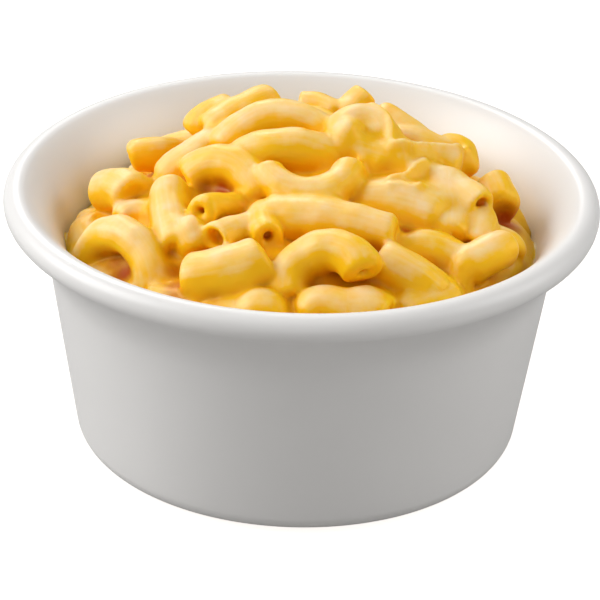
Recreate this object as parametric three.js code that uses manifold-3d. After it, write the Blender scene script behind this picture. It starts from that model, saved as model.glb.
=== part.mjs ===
// A glazed bowl with a flared, rounded lip, heaped with elbow macaroni in sauce.
// Millimetres, +Z up. The origin is on the bowl's axis, at the level of its foot.
import * as THREE from 'three';
import { mergeVertices } from 'three/addons/utils/BufferGeometryUtils.js';
import Module from 'manifold-3d';

// ---- the bowl ----
const BOWL_SIDES = 64;
const FOOT_OUTER = 42.5;
const FOOT_INNER = 38.5;
const FOOT_HEIGHT = 1.2;
const CORNER_RADIUS = 5;
const CORNER_STEPS = 3;
const BASE_RADIUS = 47.3;
const WALL_LEAN = 8.9;
const WALL_THICK = 4;
const FLARE_START = 38.7;
const FLARE_RADIUS = 19.2;
const FLARE_END = 56.8;
const FLARE_STEPS = 6;
const LIP_THICK = 6;
const LIP_STEPS = 8;
const FLOOR_LEVEL = 5.5;
const INNER_CORNER = 9;

// ---- the food ----
const WALL_GAP = 0.3;
const CORE_SIDES = 32;
const CORE_RINGS = 6;
const CORE_SHOULDER = 0.97;
const CORE_STEP = 0.5;
const HEAP_RADIUS = 49;
const HEAP_EDGE = 48.6;
const HEAP_RISE = 25;
const HEAP_TILT = 0.05;
const HEAP_FALL = 0.8;
const CROWN_X = 1;
const CROWN_Y = 14;
const CROWN_ROUND = 0.15;
const CORE_DEPTH = 5.2;
const TUBE_SIDES = 8;
const STEP_BEND = 31;
const BORE_DEPTH = 2.2;
const BORE_SHARE = 0.5;
const TUBE_SWELL = 0.05;
const MOVE_TRIES = 40;
const RULE_PIECES = 30;
const RULE_TRIES = 60;
const RULE_LENGTH = 22;
const RULE_LENGTH_DROP = 6;
const RULE_RADIUS = 4.3;
const RULE_RADIUS_DROP = 0.7;
const RULE_EDGE = 5;
const RULE_DEPTH = 1.5;
const RULE_TWIST = 160;
const RULE_BEND = 70;
const RULE_BEND_SPREAD = 40;
const FRONT_Y = 8;
const FRONT_SINK = 2.6;
const EDGE_RADIUS = 42;
const EDGE_SINK = 1.4;
const SEED = 20795;

const rad = THREE.MathUtils.degToRad;
const point = (x, y) => new THREE.Vector2(x, y);

// A row of points on a circular arc, from one angle to another (degrees, from +x).
function arc(cx, cy, radius, from, to, steps) {
  const points = [];
  for (let i = 0; i <= steps; i += 1) {
    const a = rad(from + ((to - from) * i) / steps);
    points.push(point(cx + radius * Math.cos(a), cy + radius * Math.sin(a)));
  }
  return points;
}

// ---- the bowl's section, from the foot out and up, over the lip and down inside ----
const leanOut = point(Math.cos(rad(WALL_LEAN)), -Math.sin(rad(WALL_LEAN)));
const cornerCentre = point(BASE_RADIUS - CORNER_RADIUS, CORNER_RADIUS);
const cornerTop = cornerCentre.clone().addScaledVector(leanOut, CORNER_RADIUS);
const flareFoot = point(
  cornerTop.x + (FLARE_START - cornerTop.y) * Math.tan(rad(WALL_LEAN)), FLARE_START);
const flareCentre = flareFoot.clone().addScaledVector(leanOut, FLARE_RADIUS);

const outerWall = [
  ...arc(cornerCentre.x, cornerCentre.y, CORNER_RADIUS, -90, -WALL_LEAN, CORNER_STEPS),
  ...arc(flareCentre.x, flareCentre.y, FLARE_RADIUS, 180 - WALL_LEAN, 180 - FLARE_END, FLARE_STEPS),
];
// The inner face of the flare, where the wall thickens towards the lip.
const innerFlare = [];
for (let i = FLARE_STEPS; i >= 0; i -= 1) {
  const share = i / FLARE_STEPS;
  const a = rad(180 - WALL_LEAN - (FLARE_END - WALL_LEAN) * share);
  const r = FLARE_RADIUS + WALL_THICK + (LIP_THICK - WALL_THICK) * share;
  innerFlare.push(point(flareCentre.x + r * Math.cos(a), flareCentre.y + r * Math.sin(a)));
}
const lipOut = outerWall[outerWall.length - 1];
const lipCentre = lipOut.clone().add(innerFlare[0]).multiplyScalar(0.5);
const lipAngle = THREE.MathUtils.radToDeg(Math.atan2(lipOut.y - lipCentre.y, lipOut.x - lipCentre.x));
const lip = arc(lipCentre.x, lipCentre.y, LIP_THICK / 2, lipAngle, lipAngle + 180, LIP_STEPS).slice(1, -1);
const innerTop = innerFlare[innerFlare.length - 1];
const innerBottom = point(
  innerTop.x - (innerTop.y - FLOOR_LEVEL - INNER_CORNER) * Math.tan(rad(WALL_LEAN)),
  FLOOR_LEVEL + INNER_CORNER);
const innerCorner = arc(
  innerBottom.x - INNER_CORNER * Math.cos(rad(WALL_LEAN)), FLOOR_LEVEL + INNER_CORNER,
  INNER_CORNER, 0, -90, CORNER_STEPS);
const inside = [...innerFlare, ...innerCorner];
const bowlSection = [
  point(0, FOOT_HEIGHT),
  point(FOOT_INNER - 1, FOOT_HEIGHT),
  point(FOOT_INNER, 0),
  point(FOOT_OUTER - 0.5, 0),
  ...outerWall,
  ...lip,
  ...inside,
  point(0, FLOOR_LEVEL),
];

// The radius of the bowl's inside at a height.
function insideRadius(z) {
  for (let i = 0; i + 1 < inside.length; i += 1) {
    const a = inside[i];
    const b = inside[i + 1];
    if (z <= a.y && z >= b.y && a.y > b.y) {
      return b.x + ((a.x - b.x) * (z - b.y)) / (a.y - b.y);
    }
  }
  return z > inside[0].y ? inside[0].x : inside[inside.length - 1].x;
}

// A lathe turned about Z.
function turned(section, sides) {
  const geometry = new THREE.LatheGeometry(section, sides);
  geometry.rotateX(Math.PI / 2);
  return geometry;
}

// ---- the heap ----
// The mean height of the heap's skin: a dome whose crown lies behind the centre.
function skin(x, y) {
  const r = Math.hypot(x, y) / HEAP_RADIUS;
  const q = Math.hypot(x - CROWN_X, y - CROWN_Y) / HEAP_RADIUS;
  const dome = Math.sqrt(Math.max(0, 1 - r * r));
  const fall = Math.exp(-HEAP_FALL * Math.hypot(q, CROWN_ROUND));
  return HEAP_EDGE - HEAP_TILT * y + HEAP_RISE * dome * fall;
}

// The core under the pieces: it fills the bowl and follows the skin, one step below.
function core() {
  const section = [point(0, FLOOR_LEVEL + WALL_GAP)];
  for (const p of [...innerCorner].reverse()) {
    section.push(point(Math.max(0, p.x - 2 * WALL_GAP), p.y + WALL_GAP));
  }
  const edge = HEAP_EDGE - CORE_DEPTH;
  section.push(point(insideRadius(edge) - 2 * WALL_GAP, edge));
  for (let i = CORE_RINGS; i >= 0; i -= 1) {
    const share = CORE_SHOULDER * (i / CORE_RINGS);
    section.push(point((insideRadius(edge) - 2 * WALL_GAP) * share, edge + CORE_STEP));
  }
  const geometry = turned(section, CORE_SIDES);
  const at = geometry.attributes.position;
  for (let i = 0; i < at.count; i += 1) {
    if (at.getZ(i) > edge + CORE_STEP / 2) {
      const lift = skin(at.getX(i), at.getY(i)) - CORE_DEPTH;
      at.setZ(i, Math.max(edge + CORE_STEP, lift));
    }
  }
  return geometry;
}

// One elbow: a short tube with a blind bore at each open end, turned straight and then bent.
function elbow({ x, y, z, yaw, pitch, roll, bend, length, radius, open }) {
  const half = length / 2;
  const steps = Math.ceil(bend / STEP_BEND);
  const section = [];
  const bore = radius * Math.abs(open);
  if (open < 0) {
    section.push(point(0, BORE_DEPTH - half), point(bore, BORE_DEPTH - half), point(bore, -half));
  } else {
    section.push(point(0, -half));
  }
  for (let i = 0; i <= steps; i += 1) {
    const swell = 1 + TUBE_SWELL * Math.sin((Math.PI * i) / steps);
    section.push(point(radius * swell, -half + (length * i) / steps));
  }
  if (open > 0) {
    section.push(point(bore, half), point(bore, half - BORE_DEPTH), point(0, half - BORE_DEPTH));
  } else {
    section.push(point(0, half));
  }
  const geometry = new THREE.LatheGeometry(section, TUBE_SIDES);
  const at = geometry.attributes.position;
  const bendRadius = length / rad(bend);
  for (let i = 0; i < at.count; i += 1) {
    const a = at.getY(i) / bendRadius;
    const out = bendRadius + at.getX(i);
    at.setXYZ(i, out * Math.sin(a), at.getZ(i), out * Math.cos(a) - bendRadius);
  }
  geometry.applyMatrix4(new THREE.Matrix4().makeRotationFromEuler(
    new THREE.Euler(rad(roll), -rad(pitch), rad(yaw), 'ZYX')));
  geometry.translate(x, y, z);
  return geometry;
}

// How far a shape reaches past the inside of the bowl, and the way out.
function reach(geometry) {
  const at = geometry.attributes.position;
  let worst = 0;
  let way = null;
  for (let i = 0; i < at.count; i += 1) {
    const r = Math.hypot(at.getX(i), at.getY(i));
    const over = r - (insideRadius(at.getZ(i)) - 2 * WALL_GAP);
    if (over > worst) {
      worst = over;
      way = [at.getX(i) / r, at.getY(i) / r];
    }
  }
  return { worst, way };
}

// A piece that would cross the bowl is moved in until it is clear.
function keptInside(piece) {
  const moved = { ...piece };
  for (let tries = 0; tries < MOVE_TRIES; tries += 1) {
    const geometry = elbow(moved);
    const { worst, way } = reach(geometry);
    if (!way) {
      return moved;
    }
    moved.x -= way[0] * (worst + 0.02);
    moved.y -= way[1] * (worst + 0.02);
  }
  return null;
}

// ---- the pieces that make the heap's shape ----
// x, y, z of the tube's middle; yaw, pitch and roll (0 arches up, 90 lies flat);
// bend, length, radius; the bore's share of the radius, below 0 at the -x end, 0 where closed.
const SHOWN = [
  // left
  [-31, 17, 55.8, 15, -5, 14, 55, 12.5, 3.5, 0],
  [-38, 0.5, 54.6, -53, 17, -31, 35, 13, 4.7, 0],
  [-44.5, 0, 44.9, -86, -8, 66, 15, 12, 2.7, 0],
  [-34.5, -8, 53.3, 0, 2, -56, 75, 7.5, 2.6, 0],
  [-36.5, -22, 54.7, -45, 1, -10, 165, 29, 3.7, 0],
  [-25.5, -27, 49, -86, -23, 47, 30, 11, 2.5, 0],
  [-27, -17.5, 57.4, -81, -19, 70, 15, 18, 3.7, 0],
  [-22, -25, 56.5, -66, -24, 0, 15, 6.5, 2.7, 0],
  [-23.5, 6, 60.2, 31, 22, 2, 35, 15, 3.4, 0],
  [-14.5, -5, 63.3, -32, -3, -36, 125, 21, 4.1, 0],
  // crown
  [-20, 18.5, 63.5, 32, 24, -2, 45, 10.5, 3.7, 0],
  [-13.5, 16.5, 66.1, 37, 12, 30, 25, 17.5, 3.6, 0],
  [-6, 9, 68.4, 3, 5, -35, 115, 26.5, 3.8, 0],
  [-3.5, -2, 66.1, 3, 0, 9, 80, 19.5, 4.6, 0],
  [3.5, 21.5, 65.2, -25, -6, -69, 40, 9.5, 3.2, -0.4],
  [10.5, 21, 66.2, 46, 30, -127, 20, 8, 3.2, 0.45],
  [12, 7, 69.4, 7, -3, -57, 215, 15.5, 3.4, 0],
  [12.5, 4, 66, 0, 2, -47, 95, 6, 3.4, 0],
  [20.5, 15.5, 63.7, -22, -26, -66, 35, 12, 3.5, 0],
  [24.5, 11, 62.7, -5, -13, -29, 45, 11.5, 3, 0],
  // middle
  [14, -2, 64.1, -9, -7, -67, 40, 6.5, 3.5, 0],
  [2, -15, 62.5, 7, 2, 111, 165, 25, 3.3, 0],
  [-17, -17, 59.7, 48, -17, -56, 35, 13, 3, -0.3],
  [-13, -25, 58.2, 36, -5, -73, 35, 12, 3.1, -0.66],
  [-7.5, -23, 58.6, 96, -2, -98, 15, 12, 3.2, -0.36],
  [6, -22.5, 59.4, -11, -2, -9, 20, 26, 4.6, 0],
  [20.5, -13, 58.8, -12, -5, -30, 30, 15, 4.4, 0],
  // right
  [26.5, 3, 62.2, 14, -1, -40, 35, 13, 3.4, 0],
  [33, 11, 60.5, -48, -22, -38, 120, 8.5, 3.2, 0],
  [30, -10, 56.9, -88, -20, -156, 20, 18, 4, 0],
  [34, -8, 59.8, -55, 2, 1, 30, 10, 3.3, 0.6],
  [37, -15, 55.4, -101, -20, -79, 45, 9, 2.8, 0],
  [40.5, 1.5, 54.9, -69, -21, -101, 15, 8, 4.7, 0],
  [38.5, -23.5, 53.7, 36, 12, 47, 45, 10.5, 3.9, 0],
  [42.5, -13, 51.2, -13, -30, -67, 120, 6.5, 2.9, 0],
  [27, -23, 54, 0, -11, -26, 90, 12, 4.1, 0],
  // front
  [22, -33, 53.3, -16, -27, 27, 45, 12.5, 4.5, 0],
  [3.5, -34, 58.5, -4, 26, -45, 170, 24.5, 4.2, 0.24],
  [15.5, -29.5, 52.6, 61, -5, 100, 15, 8, 3, 0],
  [-15, -36, 54.6, 4, 15, 87, 45, 16, 4.9, 0],
  [-14, -42.5, 47.2, -12, 5, 45, 30, 9.5, 3.6, 0],
  [-7, -43.5, 49.9, 0, -1, 0, 95, 6, 3.4, 0],
  [4.5, -42.5, 51.6, 0, 9, -12, 135, 8, 3.2, 0],
  [13, -42, 50, 3, 0, -19, 40, 9, 3.6, 0],
  [26.5, -37, 48.6, 34, 4, 124, 25, 13, 3.6, 0],
  [-25, -37, 46.9, -25, 2, 124, 20, 12, 3.4, 0],
];

// A repeatable draw between 0 and 1.
function drawer(seed) {
  let state = seed;
  return () => {
    state = (Math.imul(state, 1664525) + 1013904223) >>> 0;
    return state / 4294967296;
  };
}

const rows = SHOWN.map(([x, y, z, yaw, pitch, roll, bend, length, radius, open]) => (
  { x, y, z, yaw, pitch, roll, bend, length, radius, open }));
const pieces = rows.map(keptInside).filter((piece) => piece !== null);

// How much lower an elbow of the rule lies: under the front ones that show, and along the wall.
function ruleSink({ x, y }) {
  return (y < FRONT_Y ? FRONT_SINK : 0) + (Math.hypot(x, y) > EDGE_RADIUS ? EDGE_SINK : 0);
}

// The rest, largest first: each lands on the skin where it is farthest from the others.
const draw = drawer(SEED);
for (let i = 0; i < RULE_PIECES; i += 1) {
  let best = null;
  let bestRoom = -1;
  for (let k = 0; k < RULE_TRIES; k += 1) {
    const r = (HEAP_RADIUS - RULE_EDGE) * Math.sqrt(draw());
    const a = draw() * 2 * Math.PI;
    const spot = { x: r * Math.cos(a), y: r * Math.sin(a) };
    const room = Math.min(...pieces.map((p) => Math.hypot(p.x - spot.x, p.y - spot.y)));
    if (room > bestRoom) {
      bestRoom = room;
      best = spot;
    }
  }
  const yaw = 360 * draw();
  const length = RULE_LENGTH - (RULE_LENGTH_DROP * i) / RULE_PIECES;
  const radius = RULE_RADIUS - (RULE_RADIUS_DROP * i) / RULE_PIECES;
  const dx = Math.cos(rad(yaw));
  const dy = Math.sin(rad(yaw));
  const step = length / 3;
  const rise = skin(best.x + dx * step, best.y + dy * step)
    - skin(best.x - dx * step, best.y - dy * step);
  const fall = skin(best.x - dy * step, best.y + dx * step)
    - skin(best.x + dy * step, best.y - dx * step);
  const piece = keptInside({
    x: best.x,
    y: best.y,
    z: skin(best.x, best.y) - radius - RULE_DEPTH * draw() - ruleSink(best),
    yaw,
    pitch: THREE.MathUtils.radToDeg(Math.atan2(rise, 2 * step)),
    roll: THREE.MathUtils.radToDeg(Math.atan2(fall, 2 * step)) + RULE_TWIST * (draw() - 0.5),
    bend: RULE_BEND + RULE_BEND_SPREAD * draw(),
    length,
    radius,
    open: draw() < 0.5 ? BORE_SHARE : 0,
  });
  if (piece) {
    pieces.push(piece);
  }
}

// ---- joining ----
const wasm = await Module();
wasm.setup();

function solidOf(geometry) {
  const bare = geometry.clone();
  bare.deleteAttribute('normal');
  bare.deleteAttribute('uv');
  const merged = mergeVertices(bare, 1e-4);
  return new wasm.Manifold(new wasm.Mesh({
    numProp: 3,
    vertProperties: new Float32Array(merged.attributes.position.array),
    triVerts: new Uint32Array(merged.index.array),
  }));
}

function geometryOf(solid) {
  const mesh = solid.getMesh();
  const geometry = new THREE.BufferGeometry();
  geometry.setAttribute('position', new THREE.BufferAttribute(new Float32Array(mesh.vertProperties), 3));
  geometry.setIndex(new THREE.BufferAttribute(new Uint32Array(mesh.triVerts), 1));
  geometry.computeVertexNormals();
  return geometry;
}

// The one shell of a mesh that holds the most faces: this fills sealed hollows and drops scraps.
function mainShell(geometry) {
  const faces = geometry.index.array;
  const parent = Array.from({ length: geometry.attributes.position.count }, (_, i) => i);
  const root = (i) => {
    let top = i;
    while (parent[top] !== top) {
      parent[top] = parent[parent[top]];
      top = parent[top];
    }
    return top;
  };
  const sizes = new Map();
  for (let f = 0; f < faces.length; f += 3) {
    parent[root(faces[f])] = root(faces[f + 1]);
    parent[root(faces[f + 1])] = root(faces[f + 2]);
  }
  for (let f = 0; f < faces.length; f += 3) {
    sizes.set(root(faces[f]), (sizes.get(root(faces[f])) ?? 0) + 1);
  }
  const main = [...sizes.entries()].sort((a, b) => b[1] - a[1])[0][0];
  const kept = [];
  for (let f = 0; f < faces.length; f += 3) {
    if (root(faces[f]) === main) {
      kept.push(faces[f], faces[f + 1], faces[f + 2]);
    }
  }
  geometry.setIndex(kept);
  return geometry;
}

// The heap is one body.
let heap = solidOf(core());
for (const piece of pieces) {
  heap = heap.add(solidOf(elbow(piece)));
}

function part(name, geometry, colour, roughness) {
  const material = new THREE.MeshStandardMaterial({ color: colour, roughness, metalness: 0 });
  const mesh = new THREE.Mesh(geometry, material);
  mesh.name = name;
  return mesh;
}

const dish = new THREE.Group();
dish.add(part('bowl', turned(bowlSection, BOWL_SIDES), 0xf2f0ec, 0.2));
dish.add(part('macaroni', mainShell(geometryOf(heap)), 0xe8b53c, 0.35));

export default dish;
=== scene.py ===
"""A glazed bowl with a flared lip, heaped with elbow macaroni in cheese sauce. Metres, +Z up."""
import math

import bpy
import numpy as np
import openvdb as vdb
from mathutils import Matrix, Vector


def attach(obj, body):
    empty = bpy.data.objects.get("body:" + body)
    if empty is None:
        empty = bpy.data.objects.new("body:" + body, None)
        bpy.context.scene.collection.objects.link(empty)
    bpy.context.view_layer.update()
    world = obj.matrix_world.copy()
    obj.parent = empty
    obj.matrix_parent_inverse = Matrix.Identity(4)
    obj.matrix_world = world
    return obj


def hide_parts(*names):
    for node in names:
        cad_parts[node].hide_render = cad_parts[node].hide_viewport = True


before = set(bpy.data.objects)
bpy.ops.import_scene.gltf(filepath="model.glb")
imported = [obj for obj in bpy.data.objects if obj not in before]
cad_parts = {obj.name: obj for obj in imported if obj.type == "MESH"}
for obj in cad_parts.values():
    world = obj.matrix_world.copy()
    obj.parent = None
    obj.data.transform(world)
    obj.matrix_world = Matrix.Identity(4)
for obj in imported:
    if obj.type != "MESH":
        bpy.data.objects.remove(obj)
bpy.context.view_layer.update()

MM = 0.001

# ---- the bowl, in millimetres ----
FOOT_OUTER = 42.5
FOOT_INNER = 38.5
FOOT_HEIGHT = 1.2
FLOOR_LEVEL = 5.5
INNER_CORNER = 9.0
WALL_LEAN = math.radians(8.9)
WALL_THICK = 4.0
LIP_THICK = 6.0
BASE_RADIUS = 47.3
CORNER_RADIUS = 5.0
FLARE_START = 38.7
FLARE_RADIUS = 19.2
FLARE_END = math.radians(56.8)
FLARE_STEPS = 6
CORNER_STEPS = 3
WALL_GAP = 0.3
BOWL_TURNS = 192
PLUG_TURNS = 96
FINE_STEPS = 14

# ---- the heap, in millimetres ----
HEAP_RADIUS = 49.0
HEAP_EDGE = 48.6
HEAP_RISE = 25.0
HEAP_TILT = 0.05
HEAP_FALL = 0.8
CROWN_X = 1.0
CROWN_Y = 14.0
CROWN_ROUND = 0.15
CORE_DEPTH = 5.2
BACK_DEPTH = 2.6
BACK_START = 17.0
BACK_BLEND = 9.0
TUBE_SIDES = 8
STEP_BEND = 31
TUBE_SWELL = 0.05
MOVE_TRIES = 40
MOVE_SPARE = 0.02
RULE_PIECES = 30
RULE_TRIES = 60
RULE_LENGTH = 22
RULE_LENGTH_DROP = 6
RULE_RADIUS = 4.3
RULE_RADIUS_DROP = 0.7
RULE_EDGE = 5
RULE_DEPTH = 1.5
RULE_TWIST = 160
RULE_BEND = 70
RULE_BEND_SPREAD = 40
RULE_CREAM = 0.5
RULE_CREAM_SPREAD = 0.25
FRONT_Y = 8
FRONT_SINK = 2.6
EDGE_RADIUS = 42
EDGE_SINK = 1.4
SEED = 20795

# ---- the food's fine mesh, in millimetres ----
VOXEL = 0.52
FIELD_LOW = 41.0
FIELD_HIGH = 74.0
FIELD_HALF = 50.6
PLUG_TOP = 43.0
PLUG_GAP = 0.4
CREASE = 0.3
SAUCE_FILL = 1.3
THICK_FILL = 2.6
PIECE_MARGIN = 7
CREAM_REACH = 0.7
BORE_SHARE = 0.5
BORE_DEPTH = 2.6
RIM_SHARE = 0.45
END_ROUND = 1.6
END_DIMPLE = 0.45
FOLD_WIDTH = 1.0
BLUR_REACH = 3
POCKET_REACH = 8
WALL_FILLET = 1.1
WALL_BITE = 0.5
GRAIN_DRIFT = 0.1

# x, y, z of the tube's middle; yaw, pitch and roll (0 arches up, 90 lies flat);
# bend, length, radius; the bore's share of the radius, below 0 at the -x end, 0 where closed;
# how creamy the piece is.
KEYS = ("x", "y", "z", "yaw", "pitch", "roll", "bend", "length", "radius", "open", "cream")
SHOWN = [
    # left
    (-31, 17, 55.8, 15, -5, 14, 55, 12.5, 3.5, 0, 0.3),
    (-38, 0.5, 54.6, -53, 17, -31, 35, 13, 4.7, 0, 0.5),
    (-44.5, 0, 44.9, -86, -8, 66, 15, 12, 2.7, 0, 0),
    (-34.5, -8, 53.3, 0, 2, -56, 75, 7.5, 2.6, 0, 0.8),
    (-36.5, -22, 54.7, -45, 1, -10, 165, 29, 3.7, 0, 0.7),
    (-25.5, -27, 49, -86, -23, 47, 30, 11, 2.5, 0, 0),
    (-27, -17.5, 57.4, -81, -19, 70, 15, 18, 3.7, 0, 0.7),
    (-22, -25, 56.5, -66, -24, 0, 15, 6.5, 2.7, 0, 0.9),
    (-23.5, 6, 60.2, 31, 22, 2, 35, 15, 3.4, 0, 0.9),
    (-14.5, -5, 63.3, -32, -3, -36, 125, 21, 4.1, 0, 0.3),
    # crown
    (-20, 18.5, 63.5, 32, 24, -2, 45, 10.5, 3.7, 0, 0.25),
    (-13.5, 16.5, 66.1, 37, 12, 30, 25, 17.5, 3.6, 0, 0.4),
    (-6, 9, 68.4, 3, 5, -35, 115, 26.5, 3.8, 0, 0.6),
    (-3.5, -2, 66.1, 3, 0, 9, 80, 19.5, 4.6, 0, 0.3),
    (3.5, 21.5, 65.2, -25, -6, -69, 40, 9.5, 3.2, -0.4, 0.5),
    (10.5, 21, 66.2, 46, 30, -127, 20, 8, 3.2, 0.45, 0.35),
    (12, 7, 69.4, 7, -3, -57, 215, 15.5, 3.4, 0, 0.8),
    (12.5, 4, 66, 0, 2, -47, 95, 6, 3.4, 0, 0.1),
    (20.5, 15.5, 63.7, -22, -26, -66, 35, 12, 3.5, 0, 0.55),
    (24.5, 11, 62.7, -5, -13, -29, 45, 11.5, 3, 0, 0.85),
    # middle
    (14, -2, 64.1, -9, -7, -67, 40, 6.5, 3.5, 0, 0.3),
    (2, -15, 62.5, 7, 2, 111, 165, 25, 3.3, 0, 0.5),
    (-17, -17, 59.7, 48, -17, -56, 35, 13, 3, -0.3, 0),
    (-13, -25, 58.2, 36, -5, -73, 35, 12, 3.1, -0.66, 0.6),
    (-7.5, -23, 58.6, 96, -2, -98, 15, 12, 3.2, -0.36, 0),
    (6, -22.5, 59.4, -11, -2, -9, 20, 26, 4.6, 0, 0.55),
    (20.5, -13, 58.8, -12, -5, -30, 30, 15, 4.4, 0, 0.85),
    # right
    (26.5, 3, 62.2, 14, -1, -40, 35, 13, 3.4, 0, 0.85),
    (33, 11, 60.5, -48, -22, -38, 120, 8.5, 3.2, 0, 0),
    (30, -10, 56.9, -88, -20, -156, 20, 18, 4, 0, 0.9),
    (34, -8, 59.8, -55, 2, 1, 30, 10, 3.3, 0.6, 0.85),
    (37, -15, 55.4, -101, -20, -79, 45, 9, 2.8, 0, 0.7),
    (40.5, 1.5, 54.9, -69, -21, -101, 15, 8, 4.7, 0, 0.15),
    (38.5, -23.5, 53.7, 36, 12, 47, 45, 10.5, 3.9, 0, 0.6),
    (42.5, -13, 51.2, -13, -30, -67, 120, 6.5, 2.9, 0, 0.85),
    (27, -23, 54, 0, -11, -26, 90, 12, 4.1, 0, 0.25),
    # front
    (22, -33, 53.3, -16, -27, 27, 45, 12.5, 4.5, 0, 0.7),
    (3.5, -34, 58.5, -4, 26, -45, 170, 24.5, 4.2, 0.24, 0.3),
    (15.5, -29.5, 52.6, 61, -5, 100, 15, 8, 3, 0, 0.05),
    (-15, -36, 54.6, 4, 15, 87, 45, 16, 4.9, 0, 0.55),
    (-14, -42.5, 47.2, -12, 5, 45, 30, 9.5, 3.6, 0, 0),
    (-7, -43.5, 49.9, 0, -1, 0, 95, 6, 3.4, 0, 0.3),
    (4.5, -42.5, 51.6, 0, 9, -12, 135, 8, 3.2, 0, 0.55),
    (13, -42, 50, 3, 0, -19, 40, 9, 3.6, 0, 0.75),
    (26.5, -37, 48.6, 34, 4, 124, 25, 13, 3.6, 0, 0.2),
    (-25, -37, 46.9, -25, 2, 124, 20, 12, 3.4, 0, 0.05),
]

# Where the sauce lies thick: x, y, reach, and how far it fills the hollows there.
# Up to 1 it is a film, from 1 to 2 it lies thick, and below 0 it is scraped away.
POOLS = [
    (23, -9, 11, 1.2),
    (25, 4, 8, 0.7),
    (-28, -11, 7, 0.8),
    (-24, 3, 6, 0.6),
    (8, -21, 8, 0.3),
    (13, -43, 7, 0.9),
    (-12, -43, 7, 0.5),
    (21, -3, 5, 0.6),
    (9, -1, 4, 1.2),
    (6, -17, 5, 0.6),
    (19, -25, 5, 0.6),
    (33, -29, 3, 1),
    (21.5, -21, 3.5, -0.7),
    (-22.5, -25.5, 3, 1.2),
    (13, -33, 4, 0.3),
    (15, -28, 3, -0.5),
    (-25, -31, 4, -0.5),
]

# Painted shadow spots in the deepest gaps between pieces and along the walls: x, y, z, reach, strength.
PAINTED_SHADOW_SPOTS = [
    (-19.5, -7.7, 59.1, 2.5, 0.7),
    (-16.5, -9, 59.8, 2.6, 1),
    (-14.9, -10.1, 59.9, 2, 0.8),
    (-35.6, -26, 48.4, 2.8, 1),
    (-37.6, -22.5, 49, 2.6, 0.6),
    (-40, -20.5, 49, 2.6, 0.4),
    (-48, 0, 47, 5, 0.2),
    (42.5, -1, 50.8, 4, 1),
    (41.5, -6, 50.5, 3, 0.6),
    (21.4, -21, 57.2, 1.8, 0.9),
    (-25.4, -26.5, 52, 2.4, 0.4),
    (-25.2, -31, 51.6, 2.8, 0.5),
    (-24.8, -36, 50.9, 2.8, 0.5),
    (-24.5, -39.5, 50, 3, 0.4),
    (-16.7, -41.7, 51, 3, 0.3),
    (4, -38, 54.3, 3, 0.25),
    (-7, -40, 52, 2.5, 0.35),
    (15, -30, 57, 2.5, 0.6),
    (28, -29, 52.5, 3, 0.3),
]

# Thin folds of sauce, from above: how far each stands up, and the points that it runs through.
FOLDS = [
    (0.9, ((18.5, -3), (23, -2), (27.5, 2), (31.5, 3.5), (34.5, 8))),
    (0.9, ((18, -11.5), (20.5, -10), (23, -7), (25.5, -4))),
    (0.7, ((18, -13.5), (20.5, -13), (23, -14), (24.5, -12))),
    (0.7, ((14.5, 8.5), (17.5, 5), (18.3, 1.5), (18, -3))),
]


def arc(centre, radius, start, end, steps):
    """Points (radius, height) on a circular arc between two angles."""
    return [(centre[0] + radius * math.cos(start + (end - start) * i / steps),
             centre[1] + radius * math.sin(start + (end - start) * i / steps))
            for i in range(steps + 1)]


def bowl_section(flare_steps, corner_steps):
    """The bowl's outer face from the foot up, and its inner face from the lip down."""
    lean = np.array([math.cos(WALL_LEAN), -math.sin(WALL_LEAN)])
    corner = np.array([BASE_RADIUS - CORNER_RADIUS, CORNER_RADIUS])
    top = corner + lean * CORNER_RADIUS
    foot = np.array([top[0] + (FLARE_START - top[1]) * math.tan(WALL_LEAN), FLARE_START])
    centre = foot + lean * FLARE_RADIUS
    outside = arc(corner, CORNER_RADIUS, -math.pi / 2, -WALL_LEAN, corner_steps)
    outside += arc(centre, FLARE_RADIUS, math.pi - WALL_LEAN, math.pi - FLARE_END, flare_steps)
    inside = []
    for i in range(flare_steps, -1, -1):
        share = i / flare_steps
        a = math.pi - WALL_LEAN - (FLARE_END - WALL_LEAN) * share
        r = FLARE_RADIUS + WALL_THICK + (LIP_THICK - WALL_THICK) * share
        inside.append((centre[0] + r * math.cos(a), centre[1] + r * math.sin(a)))
    low = FLOOR_LEVEL + INNER_CORNER
    bottom = inside[-1][0] - (inside[-1][1] - low) * math.tan(WALL_LEAN)
    turn_in = (bottom - INNER_CORNER * math.cos(WALL_LEAN), low)
    inside += arc(turn_in, INNER_CORNER, 0, -math.pi / 2, corner_steps)
    return outside, inside


INSIDE = bowl_section(FLARE_STEPS, CORNER_STEPS)[1]


def inside_radius(z, profile=INSIDE):
    """The radius of the bowl's inside at a height, for a number or an array."""
    radii = [p[0] for p in reversed(profile)]
    heights = [p[1] for p in reversed(profile)]
    return np.interp(z, heights, radii)


def skin(x, y):
    """The mean height of the heap's skin: a dome whose crown lies behind the centre."""
    r = np.hypot(x, y) / HEAP_RADIUS
    q = np.hypot(x - CROWN_X, y - CROWN_Y) / HEAP_RADIUS
    dome = np.sqrt(np.maximum(0, 1 - r * r))
    fall = np.exp(-HEAP_FALL * np.hypot(q, CROWN_ROUND))
    return HEAP_EDGE - HEAP_TILT * y + HEAP_RISE * dome * fall


def turn(piece):
    """The rotation of a piece: its columns are its tangent, its side and its arch's way up."""
    yaw, pitch, roll = (math.radians(piece[k]) for k in ("yaw", "pitch", "roll"))
    rz = Matrix.Rotation(yaw, 3, "Z")
    ry = Matrix.Rotation(-pitch, 3, "Y")
    rx = Matrix.Rotation(roll, 3, "X")
    return np.array(rz @ ry @ rx)


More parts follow.
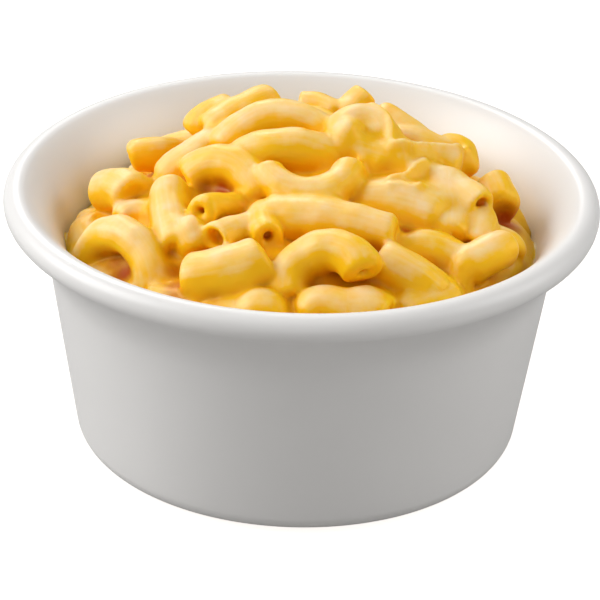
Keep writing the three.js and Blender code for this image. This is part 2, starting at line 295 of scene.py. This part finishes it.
def reach(piece):
    """How far a piece's faceted tube passes the inside of the bowl, and the way out."""
    half = piece["length"] / 2
    steps = math.ceil(piece["bend"] / STEP_BEND)
    bend_radius = piece["length"] / math.radians(piece["bend"])
    phi = np.arange(TUBE_SIDES) * 2 * math.pi / TUBE_SIDES
    rows = []
    for i in range(steps + 1):
        r = piece["radius"] * (1 + TUBE_SWELL * math.sin(math.pi * i / steps))
        a = (-half + piece["length"] * i / steps) / bend_radius
        out = bend_radius + r * np.sin(phi)
        rows.append(np.stack([out * math.sin(a), r * np.cos(phi),
                              out * math.cos(a) - bend_radius], -1))
    at = np.concatenate(rows) @ turn(piece).T + [piece["x"], piece["y"], piece["z"]]
    r = np.hypot(at[:, 0], at[:, 1])
    over = r - (inside_radius(at[:, 2]) - 2 * WALL_GAP)
    k = int(over.argmax())
    return float(over[k]), at[k, :2] / r[k]


def kept_inside(piece):
    """A piece that would cross the bowl is moved in until it is clear."""
    moved = dict(piece)
    for _ in range(MOVE_TRIES):
        over, way = reach(moved)
        if over <= 0:
            return moved
        moved["x"] -= way[0] * (over + MOVE_SPARE)
        moved["y"] -= way[1] * (over + MOVE_SPARE)
    return None


def drawer(seed):
    """A repeatable draw between 0 and 1."""
    state = seed

    def draw():
        nonlocal state
        state = (state * 1664525 + 1013904223) & 0xFFFFFFFF
        return state / 4294967296

    return draw


def rule_sink(x, y):
    """How much lower an elbow of the rule lies: under the front ones that show, and along the wall."""
    return (FRONT_SINK if y < FRONT_Y else 0) + (EDGE_SINK if math.hypot(x, y) > EDGE_RADIUS else 0)


def all_pieces():
    """The shown pieces, then the rest, each where it is farthest from the others."""
    pieces = [kept_inside(dict(zip(KEYS, row))) for row in SHOWN]
    pieces = [piece for piece in pieces if piece]
    draw = drawer(SEED)
    for i in range(RULE_PIECES):
        best = None
        best_room = -1.0
        for _ in range(RULE_TRIES):
            r = (HEAP_RADIUS - RULE_EDGE) * math.sqrt(draw())
            a = draw() * 2 * math.pi
            spot = (r * math.cos(a), r * math.sin(a))
            room = min(math.hypot(p["x"] - spot[0], p["y"] - spot[1]) for p in pieces)
            if room > best_room:
                best_room = room
                best = spot
        x, y = best
        yaw = 360 * draw()
        length = RULE_LENGTH - RULE_LENGTH_DROP * i / RULE_PIECES
        radius = RULE_RADIUS - RULE_RADIUS_DROP * i / RULE_PIECES
        dx = math.cos(math.radians(yaw))
        dy = math.sin(math.radians(yaw))
        step = length / 3
        rise = skin(x + dx * step, y + dy * step) - skin(x - dx * step, y - dy * step)
        fall = skin(x - dy * step, y + dx * step) - skin(x + dy * step, y - dx * step)
        z = skin(x, y) - radius - RULE_DEPTH * draw() - rule_sink(x, y)
        roll = math.degrees(math.atan2(fall, 2 * step)) + RULE_TWIST * (draw() - 0.5)
        bend = RULE_BEND + RULE_BEND_SPREAD * draw()
        piece = kept_inside({
            "x": x, "y": y, "z": float(z), "yaw": yaw,
            "pitch": math.degrees(math.atan2(rise, 2 * step)), "roll": roll,
            "bend": bend, "length": length, "radius": radius,
            "open": BORE_SHARE if draw() < 0.5 else 0,
            "cream": RULE_CREAM + RULE_CREAM_SPREAD * math.sin(i * 1.7),
        })
        if piece:
            pieces.append(piece)
    return pieces


# ---- the food's shape as a distance field ----
def axis_of(low, high):
    return np.arange(low, high, VOXEL, dtype=np.float32)


GX = axis_of(-FIELD_HALF, FIELD_HALF)
GY = axis_of(-FIELD_HALF, FIELD_HALF)
GZ = axis_of(FIELD_LOW, FIELD_HIGH)


def wobble(x, y, z, size, seed):
    """Smooth noise of about -1 to 1 with bumps of one size, from a few crossed waves."""
    local = np.random.default_rng(seed)
    total = 0.0
    for _ in range(5):
        way = local.normal(size=3)
        way *= 2 * math.pi / (size * np.linalg.norm(way)) * local.uniform(0.7, 1.3)
        total = total + np.sin(way[0] * x + way[1] * y + way[2] * z + local.uniform(0, 6.28))
    return total / 2.5


def tube_field(piece, x, y, z, number):
    """The distance to one elbow: a bent tube with rounded rims, open or filled at its ends."""
    m = turn(piece).astype(np.float32)
    dx, dy, dz = x - piece["x"], y - piece["y"], z - piece["z"]
    u = m[0, 0] * dx + m[1, 0] * dy + m[2, 0] * dz
    v = m[0, 1] * dx + m[1, 1] * dy + m[2, 1] * dz
    w = m[0, 2] * dx + m[1, 2] * dy + m[2, 2] * dz
    bend_radius = piece["length"] / math.radians(piece["bend"])
    h = w + bend_radius
    along = np.arctan2(u, h) * bend_radius
    rho_in = np.hypot(u, h) - bend_radius
    half = piece["length"] / 2
    radius = piece["radius"]
    squash = 1 + 0.06 * math.sin(number * 2.4)
    rho = np.hypot(rho_in * squash, v / squash)
    swell = 1 + TUBE_SWELL * np.cos(np.clip(along / half, -1, 1) * math.pi / 2)
    wall = rho - radius * swell + 0.14 * wobble(x, y, z, 7.0, 100 + number)
    ends = []
    for sign in (-1, 1):
        past = sign * along - half
        bore = piece["open"] * sign
        if bore > 0:
            e = RIM_SHARE * radius * (1 - bore)
            shell = np.maximum(wall, np.minimum(radius * bore - rho, past + BORE_DEPTH))
        else:
            e = min(END_ROUND, 0.8 * radius)
            shell = wall
            past = past + END_DIMPLE * np.clip(1 - (rho / (0.65 * radius)) ** 2, 0, 1)
        side, cap = shell + e, past + e
        d = (np.minimum(np.maximum(side, cap), 0)
             + np.hypot(np.maximum(side, 0), np.maximum(cap, 0)) - e)
        ends.append(np.where(sign * along > 0, d, -1e3))
    return np.maximum(ends[0], ends[1]).astype(np.float32)


def food_field(pieces):
    """The food's distance field, and how creamy it is, on its grid."""
    shape = (len(GX), len(GY), len(GZ))
    tight = np.zeros(shape, np.float32)
    loose = np.zeros(shape, np.float32)
    thick = np.zeros(shape, np.float32)
    weight = np.full(shape, 1e-4, np.float32)
    cream = np.full(shape, 1e-5, np.float32)
    for number, piece in enumerate(pieces):
        size = piece["length"] / 2 + piece["radius"] + PIECE_MARGIN
        cut = []
        for axis, key in ((GX, "x"), (GY, "y"), (GZ, "z")):
            lo = np.searchsorted(axis, piece[key] - size)
            hi = np.searchsorted(axis, piece[key] + size)
            cut.append(slice(int(lo), int(hi)))
        x, y, z = np.meshgrid(GX[cut[0]], GY[cut[1]], GZ[cut[2]], indexing="ij")
        if x.size == 0:
            continue
        d = tube_field(piece, x, y, z, number)
        cut = tuple(cut)
        tight[cut] += np.exp(-np.clip(d, -3, 30) / CREASE)
        loose[cut] += np.exp(-np.clip(d, -3, 30) / SAUCE_FILL)
        thick[cut] += np.exp(-np.clip(d, -3, 30) / THICK_FILL)
        near = np.exp(-np.clip(d, -2, 12) / CREAM_REACH)
        weight[cut] += near
        cream[cut] += near * piece["cream"]
    x, y, z = np.meshgrid(GX, GY, GZ, indexing="ij")
    top = skin(x, y).astype(np.float32) - CORE_DEPTH - BACK_DEPTH * behind(x, y)
    core = (z - top) * 0.75 + 0.8 * wobble(x, y, z, 11.0, 7)
    tight += np.exp(-np.clip(core, -3, 30) / CREASE)
    loose += np.exp(-np.clip(core, -3, 30) / SAUCE_FILL)
    thick += np.exp(-np.clip(core, -3, 30) / THICK_FILL)
    tight = -CREASE * np.log(np.maximum(tight, 1e-30))
    loose = -SAUCE_FILL * np.log(np.maximum(loose, 1e-30))
    thick = -THICK_FILL * np.log(np.maximum(thick, 1e-30))
    share = sauce_share(x, y, z)
    d = tight + (loose - tight) * np.minimum(share, 1)
    d += (thick - loose) * np.clip(share - 1, 0, 1)
    d += 0.07 * wobble(x, y, z, 5.5, 11) + 0.02 * wobble(x, y, z, 2.4, 12)
    d -= folds(x[:, :, :1], y[:, :, :1])
    fine_inside = bowl_section(FINE_STEPS, FINE_STEPS)[1]
    wall = np.hypot(x, y) - (inside_radius(z, fine_inside).astype(np.float32) + WALL_BITE)
    near_wall = np.clip(WALL_FILLET - wall, 0, 30)
    d = -SAUCE_FILL * np.log(np.exp(-d / SAUCE_FILL) + np.exp(-near_wall / SAUCE_FILL))
    d = np.maximum(d, wall)
    return d.astype(np.float32), cream / weight


def blurred(grid, reach):
    """A grid smoothed by three passes of a box along each axis."""
    for axis in (0, 1, 2) * 3:
        pad = [(0, 0)] * 3
        pad[axis] = (reach + 1, reach)
        total = np.cumsum(np.pad(grid, pad, mode="edge"), axis=axis, dtype=np.float64)
        wide = 2 * reach + 1
        high = np.take(total, range(wide, total.shape[axis]), axis=axis)
        low = np.take(total, range(0, total.shape[axis] - wide), axis=axis)
        grid = ((high - low) / wide).astype(np.float32)
    return grid


def behind(x, y):
    """0 where the front shows the heap, 1 over its back, where less sauce fills the hollows."""
    return np.clip((y - BACK_START + 0.3 * np.abs(x)) / BACK_BLEND, 0, 1)


def sauce_share(x, y, z):
    """How far the sauce fills the hollows: more on the right of the middle."""
    share = 0.38 + 0.15 * wobble(x, y, z, 16.0, 3) - 0.3 * behind(x, y)
    for cx, cy, radius, amount in POOLS:
        share = share + amount * np.exp(-((x - cx) ** 2 + (y - cy) ** 2) / radius ** 2)
    return np.clip(share, 0.1, 2).astype(np.float32)


def folds(x, y):
    """How far the folds raise the sauce at places seen from above."""
    raised = np.zeros(x.shape, np.float32)
    for height, run in FOLDS:
        for (ax, ay), (bx, by) in zip(run, run[1:]):
            dx, dy = bx - ax, by - ay
            along = np.clip(((x - ax) * dx + (y - ay) * dy) / (dx * dx + dy * dy), 0, 1)
            far = np.hypot(x - ax - along * dx, y - ay - along * dy)
            raised = np.maximum(raised, height * np.exp(-(far / FOLD_WIDTH) ** 2))
    return raised


def sample(grid, points):
    """A grid's values at points, by straight interpolation."""
    low = np.array([GX[0], GY[0], GZ[0]])
    at = (points - low) / VOXEL
    limit = np.array(grid.shape) - 1.001
    at = np.clip(at, 0, limit)
    i = at.astype(int)
    f = at - i
    total = 0.0
    for dx in (0, 1):
        for dy in (0, 1):
            for dz in (0, 1):
                weight = (np.where(dx, f[:, 0], 1 - f[:, 0])
                          * np.where(dy, f[:, 1], 1 - f[:, 1])
                          * np.where(dz, f[:, 2], 1 - f[:, 2]))
                total = total + weight * grid[i[:, 0] + dx, i[:, 1] + dy, i[:, 2] + dz]
    return total


def turned(rows, sides):
    """A closed lathe about Z, in mm, from rows of (radius, height), first and last on the axis."""
    points = []
    faces = []
    ring = rows[1:-1]
    for r, z in ring:
        for k in range(sides):
            a = 2 * math.pi * k / sides
            points.append((r * math.cos(a), r * math.sin(a), z))
    for j in range(len(ring) - 1):
        for k in range(sides):
            n = (k + 1) % sides
            faces.append((j * sides + k, j * sides + n, (j + 1) * sides + n, (j + 1) * sides + k))
    low = len(points)
    points.append((0.0, 0.0, rows[0][1]))
    points.append((0.0, 0.0, rows[-1][1]))
    for k in range(sides):
        n = (k + 1) % sides
        faces.append((low, n, k))
        faces.append((low + 1, low - sides + k, low - sides + n))
    return points, faces


def new_object(name, points, faces):
    """A smooth-shaded mesh in the scene from points in mm."""
    mesh = bpy.data.meshes.new(name)
    mesh.from_pydata((np.array(points) * MM).tolist(), [], faces)
    mesh.shade_smooth()
    made = bpy.data.objects.new(name, mesh)
    bpy.context.collection.objects.link(made)
    return made


def make_bowl():
    """The bowl at full smoothness, on the CAD bowl's own section."""
    outside, inside = bowl_section(FINE_STEPS, FINE_STEPS)
    out = np.array(outside[-1])
    mid = (out + np.array(inside[0])) / 2
    start = math.atan2(out[1] - mid[1], out[0] - mid[0])
    lip = arc(mid, LIP_THICK / 2, start, start + math.pi, FINE_STEPS)[1:-1]
    rows = [(0.0, FOOT_HEIGHT)]
    for share in (0.3, 0.6, 0.9):
        rows.append((FOOT_INNER * share, FOOT_HEIGHT))
    rows += [(FOOT_INNER - 1.2, FOOT_HEIGHT), (FOOT_INNER - 0.6, FOOT_HEIGHT * 0.85),
             (FOOT_INNER - 0.15, FOOT_HEIGHT * 0.3), (FOOT_INNER + 0.3, 0.0),
             (FOOT_OUTER - 0.5, 0.0)]
    rows += outside[:FINE_STEPS + 1]
    wall_low, wall_high = outside[FINE_STEPS], outside[FINE_STEPS + 1]
    for i in range(1, FINE_STEPS):
        share = i / FINE_STEPS
        rows.append(tuple(np.array(wall_low) * (1 - share) + np.array(wall_high) * share))
    rows += outside[FINE_STEPS + 1:] + lip + inside
    for share in (0.8, 0.5, 0.2):
        rows.append((inside[-1][0] * share, FLOOR_LEVEL))
    rows.append((0.0, FLOOR_LEVEL))
    points, faces = turned(rows, BOWL_TURNS)
    return new_object("glazed_bowl", points, faces)


def plug():
    """The hidden food below the heap: a lathed block that fills the bowl."""
    rows = [(0.0, FLOOR_LEVEL + WALL_GAP)]
    for r, z in reversed(INSIDE):
        if z < PLUG_TOP - 1:
            rows.append((max(0.0, r - PLUG_GAP), z + WALL_GAP))
    rows.append((float(inside_radius(PLUG_TOP)) - PLUG_GAP, PLUG_TOP))
    rows.append((0.0, PLUG_TOP))
    return turned(rows, PLUG_TURNS)


def painted_shadow_strength(points):
    """How far each point lies in a painted shadow spot, from 0 to 1."""
    found = np.zeros(len(points))
    for x, y, z, size, strength in PAINTED_SHADOW_SPOTS:
        far = ((points - [x, y, z]) ** 2).sum(axis=1)
        found = np.maximum(found, strength * np.exp(-far / size ** 2))
    return found


def grain(pieces, points):
    """Where each point lies on its nearest piece: round the tube, and slowly along it, in mm."""
    nearest = np.full(len(points), 1e3)
    found = np.zeros((len(points), 3))
    for number, piece in enumerate(pieces):
        offset = points - [piece["x"], piece["y"], piece["z"]]
        near = np.nonzero((np.abs(offset) < piece["length"] / 2 + piece["radius"] + 3).all(axis=1))[0]
        u, v, w = (offset[near] @ turn(piece)).T
        bend_radius = piece["length"] / math.radians(piece["bend"])
        along = np.arctan2(u, w + bend_radius) * bend_radius
        out = np.hypot(u, w + bend_radius) - bend_radius
        rho = np.hypot(out, v) + 1e-6
        past = np.maximum(np.abs(along) - piece["length"] / 2, 0)
        far = np.hypot(np.maximum(rho - piece["radius"], 0), past)
        closer = far < nearest[near]
        at = near[closer]
        nearest[at] = far[closer]
        ring = piece["radius"] / rho[closer]
        found[at] = np.stack([out[closer] * ring, v[closer] * ring + 17.0 * number,
                              along[closer] * GRAIN_DRIFT], -1)
    return found


def make_food():
    """The heap's fine mesh over its hidden plug, with what its material reads at each point."""
    pieces = all_pieces()
    field, cream = food_field(pieces)
    grid = vdb.FloatGrid(9.0)
    grid.copyFromArray(field)
    points, quads = grid.convertToQuads()
    points = points.astype(np.float64) * VOXEL + [GX[0], GY[0], GZ[0]]
    keep = (points[quads][:, :, 2] > FIELD_LOW + 0.6 * VOXEL).any(axis=1)
    quads = quads[keep]
    used = np.unique(quads)
    renumber = np.full(len(points), -1)
    renumber[used] = np.arange(len(used))
    points = points[used]
    quads = renumber[quads]
    solid = np.clip(0.5 - field / VOXEL, 0, 1)
    # What the material reads at each point: its creaminess, how enclosed it is (for painted shade in
    # creases and wider pockets), and the painted shadow spots.
    values = {
        "cream": sample(cream, points),
        "painted_crease_shade": sample(blurred(solid, BLUR_REACH), points) - 0.5,
        "painted_pocket_shade": sample(blurred(solid, POCKET_REACH), points) - 0.5,
        "painted_shadow": painted_shadow_strength(points),
    }
    plug_points, plug_faces = plug()
    count = len(points)
    faces = [tuple(q) for q in quads.tolist()]
    faces += [tuple(i + count for i in f) for f in plug_faces]
    food = new_object("macaroni_food", np.concatenate([points, np.array(plug_points)]), faces)
    mesh = food.data
    for name, at_points in values.items():
        full = np.zeros(len(mesh.vertices), np.float32)
        full[:count] = at_points
        mesh.attributes.new(name, "FLOAT", "POINT").data.foreach_set("value", full)
    full = np.zeros((len(mesh.vertices), 3), np.float32)
    full[:count] = grain(pieces, points)
    mesh.attributes.new("grain", "FLOAT_VECTOR", "POINT").data.foreach_set("vector", full.ravel())
    return food


def look_from(camera, at, azimuth, elevation, distance, roll):
    """Points a camera at a place from an azimuth (0 looks along +Y) and an elevation."""
    back = Vector((-math.sin(azimuth) * math.cos(elevation),
                   -math.cos(azimuth) * math.cos(elevation), math.sin(elevation)))
    camera.location = Vector(at) + back * distance
    facing = back.to_track_quat("Z", "Y").to_matrix().to_4x4()
    camera.matrix_world = (Matrix.Translation(camera.location) @ facing
                           @ Matrix.Rotation(roll, 4, "Z"))


# ---- materials ----
def new_material(name):
    material = bpy.data.materials.new(name)
    material.use_nodes = True
    nodes = material.node_tree.nodes
    return material, nodes, material.node_tree.links, nodes["Principled BSDF"]


def mix_colour(nodes, links, factor, a, b):
    mix = nodes.new("ShaderNodeMix")
    mix.data_type = "RGBA"
    for socket, value in ((0, factor), (6, a), (7, b)):
        if isinstance(value, bpy.types.NodeSocket):
            links.new(value, mix.inputs[socket])
        else:
            mix.inputs[socket].default_value = value
    return mix.outputs[2]


def ramp(nodes, links, source, low, high):
    node = nodes.new("ShaderNodeMapRange")
    node.interpolation_type = "SMOOTHSTEP"
    node.inputs["From Min"].default_value = low
    node.inputs["From Max"].default_value = high
    links.new(source, node.inputs["Value"])
    return node.outputs["Result"]


def noise(nodes, links, scale, detail=2.0):
    where = nodes.new("ShaderNodeTexCoord")
    node = nodes.new("ShaderNodeTexNoise")
    node.inputs["Scale"].default_value = scale
    node.inputs["Detail"].default_value = detail
    links.new(where.outputs["Object"], node.inputs["Vector"])
    return node.outputs["Fac"]


def attribute(nodes, name):
    node = nodes.new("ShaderNodeAttribute")
    node.attribute_name = name
    return node.outputs["Fac"]


def combine(nodes, links, how, a, b, clamp=False):
    node = nodes.new("ShaderNodeMath")
    node.operation = how
    node.use_clamp = clamp
    for socket, value in zip(node.inputs, (a, b)):
        if isinstance(value, bpy.types.NodeSocket):
            links.new(value, socket)
        else:
            socket.default_value = value
    return node.outputs["Value"]


def food_material():
    """Golden pasta with a creamy sauce, and painted light: cream mixed in on sides that face the key
    light (painted highlight), gold on sides turned away and in creases and pockets (painted shade), and
    painted shadow spots.
    """
    material, nodes, links, shader = new_material("macaroni_in_sauce")
    # Colours: pasta and cream are the food's own, and the cream also stands for painted highlight; the
    # gold, orange-gold and reddish ones are painted shade and shadow.
    pasta = (0.86, 0.50, 0.006, 1)
    cream = (0.85, 0.65, 0.37, 1)
    painted_shade_gold = (0.84, 0.385, 0.001, 1)
    painted_shadow_amber = (0.55, 0.20, 0.001, 1)
    painted_deep_shadow = (0.40, 0.05, 0.0005, 1)
    # The normal's turn towards the key light at the upper left: painted highlight on sides that face
    # it, painted shade on sides turned away.
    facing = nodes.new("ShaderNodeVectorMath")
    facing.operation = "DOT_PRODUCT"
    facing.inputs[1].default_value = (-0.42, -0.22, 0.88)
    links.new(nodes.new("ShaderNodeNewGeometry").outputs["Normal"], facing.inputs[0])
    lit = ramp(nodes, links, facing.outputs["Value"], 0.2, 1.0)
    shade = ramp(nodes, links, facing.outputs["Value"], 0.35, -0.4)
    patches = ramp(nodes, links, noise(nodes, links, 220.0, 3.0), 0.35, 0.7)
    lines = nodes.new("ShaderNodeTexNoise")
    lines.inputs["Scale"].default_value = 0.9
    lines.inputs["Detail"].default_value = 2.0
    ringed = nodes.new("ShaderNodeAttribute")
    ringed.attribute_name = "grain"
    links.new(ringed.outputs["Vector"], lines.inputs["Vector"])
    streaks = ramp(nodes, links, lines.outputs["Fac"], 0.3, 0.7)
    # Painted shade in narrow creases and wider pockets between pieces, from how enclosed each point is.
    painted_crease_shade = ramp(nodes, links, attribute(nodes, "painted_crease_shade"), -0.04, 0.2)
    painted_pocket_shade = ramp(nodes, links, attribute(nodes, "painted_pocket_shade"), -0.02, 0.2)
    # How much cream shows: the piece's own creaminess, random patches and streaks, plus painted
    # highlight towards the key light, minus painted shade in creases and pockets.
    cream_and_highlight = combine(nodes, links, "MULTIPLY", attribute(nodes, "cream"), 0.5)
    for source, amount in ((lit, 0.9), (patches, 0.35), (streaks, 0.2), (painted_crease_shade, -0.6), (painted_pocket_shade, -0.7)):
        part = combine(nodes, links, "MULTIPLY", source, amount)
        cream_and_highlight = combine(nodes, links, "ADD", cream_and_highlight, part)
    cream_and_highlight = combine(nodes, links, "SUBTRACT", cream_and_highlight, 0.85, clamp=True)
    tone = mix_colour(nodes, links, cream_and_highlight, pasta, cream)
    # Painted shade: gold on sides turned from the key light and in creases and pockets.
    for source, amount in ((shade, 0.5), (painted_crease_shade, 0.5), (painted_pocket_shade, 0.7)):
        tone = mix_colour(nodes, links, combine(nodes, links, "MULTIPLY", source, amount), tone, painted_shade_gold)
    # Painted shadow, reddish, in the narrowest creases.
    painted_pit_shadow = ramp(nodes, links, attribute(nodes, "painted_crease_shade"), 0.18, 0.38)
    tone = mix_colour(nodes, links, painted_pit_shadow, tone, painted_deep_shadow)
    # Painted shadow spots in the deepest gaps: orange-gold, then reddish at their middles.
    painted_shadow = attribute(nodes, "painted_shadow")
    tone = mix_colour(nodes, links, ramp(nodes, links, painted_shadow, 0.0, 0.5), tone, painted_shadow_amber)
    tone = mix_colour(nodes, links, ramp(nodes, links, painted_shadow, 0.4, 1.0), tone, painted_deep_shadow)
    links.new(tone, shader.inputs["Base Color"])
    shader.inputs["Roughness"].default_value = 0.42
    shader.inputs["Subsurface Weight"].default_value = 0.6
    shader.inputs["Subsurface Radius"].default_value = (1.0, 0.6, 0.2)
    shader.inputs["Subsurface Scale"].default_value = 0.003
    shader.inputs["Specular IOR Level"].default_value = 0.45
    shader.inputs["Specular Tint"].default_value = (1.0, 0.72, 0.3, 1)
    shader.inputs["Coat Weight"].default_value = 0.06
    shader.inputs["Coat Roughness"].default_value = 0.25
    bump = nodes.new("ShaderNodeBump")
    bump.inputs["Strength"].default_value = 0.3
    bump.inputs["Distance"].default_value = 0.0003
    links.new(combine(nodes, links, "ADD", noise(nodes, links, 600.0, 3.0), lines.outputs["Fac"]),
              bump.inputs["Height"])
    links.new(bump.outputs["Normal"], shader.inputs["Normal"])
    return material


def glaze_material():
    material, nodes, links, shader = new_material("white_glaze")
    cloud = noise(nodes, links, 45.0)
    tone = mix_colour(nodes, links, cloud, (0.70, 0.687, 0.67, 1), (0.735, 0.722, 0.705, 1))
    links.new(tone, shader.inputs["Base Color"])
    shader.inputs["Roughness"].default_value = 0.38
    shader.inputs["Coat Weight"].default_value = 0.15
    shader.inputs["Coat Roughness"].default_value = 0.3
    bump = nodes.new("ShaderNodeBump")
    bump.inputs["Strength"].default_value = 0.12
    bump.inputs["Distance"].default_value = 0.0006
    links.new(noise(nodes, links, 60.0, 1.0), bump.inputs["Height"])
    links.new(bump.outputs["Normal"], shader.inputs["Normal"])
    return material


def floor_material():
    """A pale floor that looks white, and lights the bowl from below a little less than it looks."""
    material, nodes, links, shader = new_material("pale_floor")
    shader.inputs["Base Color"].default_value = (0.29, 0.29, 0.29, 1)
    shader.inputs["Roughness"].default_value = 0.9
    shader.inputs["Emission Color"].default_value = (1.0, 0.96, 0.92, 1)
    seen = nodes.new("ShaderNodeLightPath").outputs["Is Camera Ray"]
    glow = nodes.new("ShaderNodeMapRange")
    glow.inputs["To Min"].default_value = 0.12
    glow.inputs["To Max"].default_value = 0.95
    links.new(seen, glow.inputs["Value"])
    links.new(glow.outputs["Result"], shader.inputs["Emission Strength"])
    return material


# ---- the pieces ----
food = make_food()
food.data.materials.append(food_material())
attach(food, "root")
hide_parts("macaroni")

bowl = make_bowl()
bowl.data.materials.append(glaze_material())
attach(bowl, "root")
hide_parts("bowl")

FLOOR_SIZE = 6.0
FLOOR_DROP = 0.0002
bpy.ops.mesh.primitive_plane_add(size=FLOOR_SIZE, location=(0, 0, -FLOOR_DROP))
floor = bpy.context.object
floor.name = "floor"
floor.data.materials.append(floor_material())


# ---- light ----
BOWL_MIDDLE = (0, 0, 0.04)
HEAP_TOP = (0, 0, 0.06)


def area_light(name, location, size, power, target=BOWL_MIDDLE):
    """A soft round light that faces a place: metres and watts."""
    data = bpy.data.lights.new(name, "AREA")
    data.shape = "DISK"
    data.size = size
    data.energy = power
    light = bpy.data.objects.new(name, data)
    bpy.context.collection.objects.link(light)
    way = Vector(location) - Vector(target)
    light.matrix_world = (Matrix.Translation(location)
                          @ way.to_track_quat("Z", "Y").to_matrix().to_4x4())


area_light("key", (-1.02, 0.00, 0.71), 1.0, 13.9)
area_light("front_top", (-0.25, -0.65, 1.25), 1.2, 2.4)
area_light("back", (-0.30, 1.05, 0.85), 0.5, 5.0, target=HEAP_TOP)
area_light("front_fill", (0.10, -1.40, 0.35), 1.0, 3.3)
area_light("right_fill", (1.10, 0.00, 0.60), 1.0, 8.0)

world = bpy.data.worlds.new("studio")
world.use_nodes = True
world_nodes = world.node_tree.nodes
world_links = world.node_tree.links
direction = world_nodes.new("ShaderNodeTexCoord").outputs["Generated"]
facing = world_nodes.new("ShaderNodeVectorMath")
facing.operation = "DOT_PRODUCT"
world_links.new(direction, facing.inputs[0])
facing.inputs[1].default_value = (-0.3, 0.6, 0.74)
strength = world_nodes.new("ShaderNodeMapRange")
strength.inputs["From Min"].default_value = -0.5
strength.inputs["From Max"].default_value = 0.8
strength.inputs["To Min"].default_value = 0.03
strength.inputs["To Max"].default_value = 0.42
world_links.new(facing.outputs["Value"], strength.inputs["Value"])
world_links.new(strength.outputs["Result"], world_nodes["Background"].inputs["Strength"])
world_nodes["Background"].inputs["Color"].default_value = (1, 1, 1, 1)
bpy.context.scene.world = world
bpy.context.scene.view_settings.view_transform = "Standard"

# ---- camera ----
CAMERA_AIM = (0.00023, 0.0001, 0.0302)
CAMERA_ABOVE = math.radians(27.0)
CAMERA_DISTANCE = 0.752
CAMERA_ROLL = 0.029
camera_data = bpy.data.cameras.new("camera")
camera_data.sensor_width = 36.0
camera_data.lens = 212.0
camera = bpy.data.objects.new("camera", camera_data)
bpy.context.collection.objects.link(camera)
look_from(camera, CAMERA_AIM, 0.0, CAMERA_ABOVE, CAMERA_DISTANCE, CAMERA_ROLL)
bpy.context.scene.camera = camera

bpy.context.view_layer.update()
